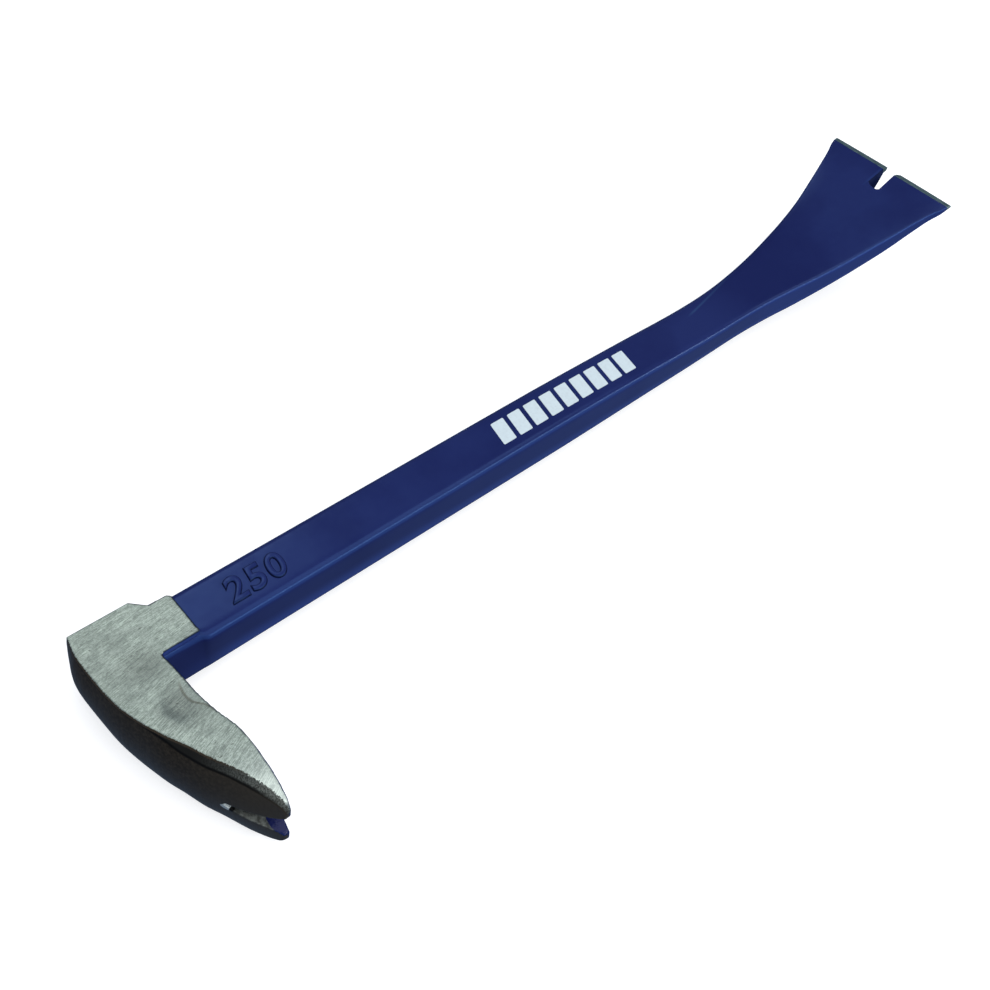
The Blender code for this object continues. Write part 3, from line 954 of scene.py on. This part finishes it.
def head_material():
    n = Nodes("ground_head")
    point = n.point()
    depth = n.field("depth")
    fine, wide = steel_strokes(n, n.field("along"), n.field("stroke"))
    mottle = n.noise(point, 1.6, 3.0, 0.6)
    grit = n.noise(point, 3.4, 2.0, 0.6)
    streaks = n.math("MULTIPLY_ADD", fine, 0.56, n.math("MULTIPLY", wide, 0.18))
    streaks = n.math("MULTIPLY_ADD", grit, 0.26, streaks)

    # Ground steel, with a ragged edge to the dark back
    uneven = n.math("MULTIPLY_ADD", grit, 0.75, n.math("MULTIPLY", fine, 0.25))
    uneven = n.math("SUBTRACT", uneven, 0.5)
    ragged = n.math("MULTIPLY", uneven, n.ramp(depth, 30.0, 46.0, 0.8, 1.7))
    from_back = n.math("ADD", n.field("from_back"), ragged)
    on_top = n.ramp(from_back, -0.1, 0.08)
    colour = claw_back(n, from_back, grit, fine, mottle, depth)
    colour = n.mix(on_top, colour, ground_steel(n, streaks, fine, depth))

    # The nail slot, with a painted highlight and a painted shadow at its root
    slot = n.ramp(n.field("in_slot"), -0.05, 0.12)
    colour = n.mix(slot, colour, slot_wall(n, depth))
    colour = n.mix(n.ramp(n.field("slot_root_glint"), 0.0, 0.25), colour, (0.55, 0.60, 0.58))
    colour = n.mix(n.ramp(n.field("slot_root_shadow"), 0.0, 0.2), colour, (0.003, 0.003, 0.003))

    # Enamel everywhere else, with a line of painted shade along its edge, strongest where the pad
    # steps down
    wander = n.math("MULTIPLY", n.math("SUBTRACT", mottle, 0.5), 0.22)
    line = n.math("ADD", n.field("from_inner"), wander)
    painted = n.ramp(line, -0.08, 0.08, 1.0, 0.0)
    # Painted shade along the enamel's edge, strongest by the pad.
    edge = n.math("MULTIPLY", band(n, line, 0.1, 0.42, 0.9), n.ramp(depth, 18.0, 24.0, 1.0, 0.25))
    enamel = n.mix(n.math("MULTIPLY", slot, 0.6), paint_colour(n), (0.004, 0.005, 0.040))
    colour = n.mix(painted, colour, enamel)
    colour = n.mix(edge, colour, (0.006, 0.012, 0.03))

    bare = n.math("SUBTRACT", 1.0, painted)
    rough_bare = n.ramp(streaks, 0.35, 0.65, 0.5, 0.38)
    rough_bare = n.math("ADD", rough_bare, n.math("MULTIPLY", slot, 0.2))
    rough_bare = n.math("MULTIPLY_ADD", n.math("SUBTRACT", 1.0, on_top), -0.06, rough_bare)
    rough = n.math("MULTIPLY_ADD", painted, n.math("SUBTRACT", 0.23, rough_bare), rough_bare)
    ground = n.math("MULTIPLY", on_top, bare)
    height = n.math("MULTIPLY", n.math("MULTIPLY_ADD", mottle, 0.35, streaks), ground)
    height = n.math("MULTIPLY_ADD", n.math("MULTIPLY", slot, mottle), 2.0, height)
    return n.finish(
        Base_Color=colour,
        Metallic=n.math("MULTIPLY", bare, n.math("MULTIPLY_ADD", on_top, 0.62, 0.3)),
        Roughness=rough,
        Specular_IOR_Level=0.12,
        Normal=n.bump(height, 0.6, 0.00008),
    )


def tip_material():
    n = Nodes("ground_tip")
    point = n.point()
    strokes = n.noise(n.stretch(point, 3.2, 0.35, 0.8), 1.0, 4.0, 0.6)
    patches = n.noise(point, 0.5, 3.0)
    colour = n.mix(n.ramp(strokes, 0.3, 0.7), (0.068, 0.113, 0.113), (0.182, 0.255, 0.248))
    colour = n.mix(n.ramp(patches, 0.5, 0.72, 0.0, 0.5), colour, (0.035, 0.06, 0.10))
    return n.finish(
        Base_Color=colour,
        Metallic=0.85,
        Roughness=n.ramp(strokes, 0.3, 0.7, 0.34, 0.5),
        Normal=n.bump(strokes, 0.4, 0.00005),
    )


def ink_material():
    n = Nodes("white_ink")
    point = n.point()
    cover = n.noise(point, 1.3, 4.0, 0.6)
    colour = n.mix(n.ramp(cover, 0.25, 0.6), (0.50, 0.57, 0.59), (0.54, 0.62, 0.64))
    return n.finish(
        Base_Color=colour,
        Roughness=n.ramp(cover, 0.3, 0.7, 0.4, 0.52),
        Specular_IOR_Level=0.3,
        Normal=n.bump(cover, 0.2, 0.00004),
    )


def floor_material():
    n = Nodes("pale_floor")
    speck = n.noise(n.point(), 0.02, 2.0)
    return n.finish(
        Base_Color=n.mix(speck, (0.50, 0.50, 0.50), (0.52, 0.52, 0.52)),
        Roughness=0.9,
        Specular_IOR_Level=0.1,
        Emission_Color=(1.0, 1.0, 1.0, 1.0),
        Emission_Strength=0.68,
    )


def assign(obj, material):
    obj.data.materials.clear()
    obj.data.materials.append(material)


# The object

ENAMEL = paint_material("blue_enamel")
MARKED = paint_material("blue_enamel_figures", marked=True)
INK = ink_material()
TIP = tip_material()

head = make_head()
assign(head, head_material())
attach(head, "root")
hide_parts("claw_head", "claw_tine_upper", "claw_tine_lower")

bar = make_bar()
assign(bar, ENAMEL)
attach(bar, "root")
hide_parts("shank", "pry_blade")

for name, side in (("left", 1), ("right", -1)):
    strip = make_tip("blade_tip_" + name, side)
    assign(strip, TIP)
    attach(strip, "root")
    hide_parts("blade_edge_" + name)

DIGIT_START = 29.5
DIGIT_PITCH = 4.55
for place, figure in enumerate("250"):
    digit = make_digit(f"raised_digit_{place + 1}", figure, DIGIT_START + DIGIT_PITCH * place)
    assign(digit, MARKED)
    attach(digit, "root")
    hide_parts(f"size_digit_{place + 1}")

PRINT_START = 98.5
PRINT_PITCH = 5.14
PRINT_WIDTH = 3.84
for place in range(9):
    block = make_block(f"ink_block_{place + 1}", PRINT_START + PRINT_PITCH * place, PRINT_WIDTH)
    assign(block, INK)
    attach(block, "root")
    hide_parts(f"print_block_{place + 1}")

# Floor, light and camera

floor_mesh = bmesh.new()
bmesh.ops.create_grid(floor_mesh, x_segments=8, y_segments=8, size=3.0)
floor_data = bpy.data.meshes.new("floor")
floor_mesh.to_mesh(floor_data)
floor_mesh.free()
floor = bpy.data.objects.new("floor", floor_data)
bpy.context.scene.collection.objects.link(floor)
floor.location.z = min(cad_low.z, 0.0) - 0.0002
assign(floor, floor_material())
floor.visible_diffuse = False
floor.visible_glossy = False

world = bpy.data.worlds.new("studio")
world.use_nodes = True
world.node_tree.nodes["Background"].inputs["Color"].default_value = (0.47, 0.66, 1.0, 1.0)
world.node_tree.nodes["Background"].inputs["Strength"].default_value = 0.25
bpy.context.scene.world = world
bpy.context.scene.view_settings.view_transform = "Standard"


def softbox(name, place, aim, size, power):
    light = bpy.data.lights.new(name, "AREA")
    light.shape = "RECTANGLE"
    light.size, light.size_y = size
    light.energy = power
    obj = bpy.data.objects.new(name, light)
    obj.location = place
    obj.rotation_mode = "QUATERNION"
    obj.rotation_quaternion = (Vector(aim) - Vector(place)).to_track_quat("-Z", "Y")
    bpy.context.scene.collection.objects.link(obj)


softbox("overhead", (-0.1, -0.55, 1.3), (-0.1, -0.55, 0.0), (2.2, 1.5), 25.0)
softbox("far card", (0.15, 1.0, 1.3), (0.0, 0.0, 0.0), (0.8, 0.6), 5.0)
softbox("near strip", (0.65, -0.8, 0.46), (0.65, 0.0, 0.0), (1.3, 0.11), 6.5)

# The camera stands above the claw's near side and looks along the bar to its blade.
camera_data = bpy.data.cameras.new("camera")
camera_data.sensor_width = 36.0
camera_data.lens = 42.23
camera_data.shift_x = 0.01545
camera_data.shift_y = -0.1066
camera_data.clip_start = 0.01
camera = bpy.data.objects.new("camera", camera_data)
camera.location = ORIGIN + Vector((-44.19, -118.88, 192.59)) * MM
camera.rotation_euler = Euler(math.radians(a) for a in (45.446, -8.180, -42.610))
bpy.context.scene.collection.objects.link(camera)
bpy.context.scene.camera = camera
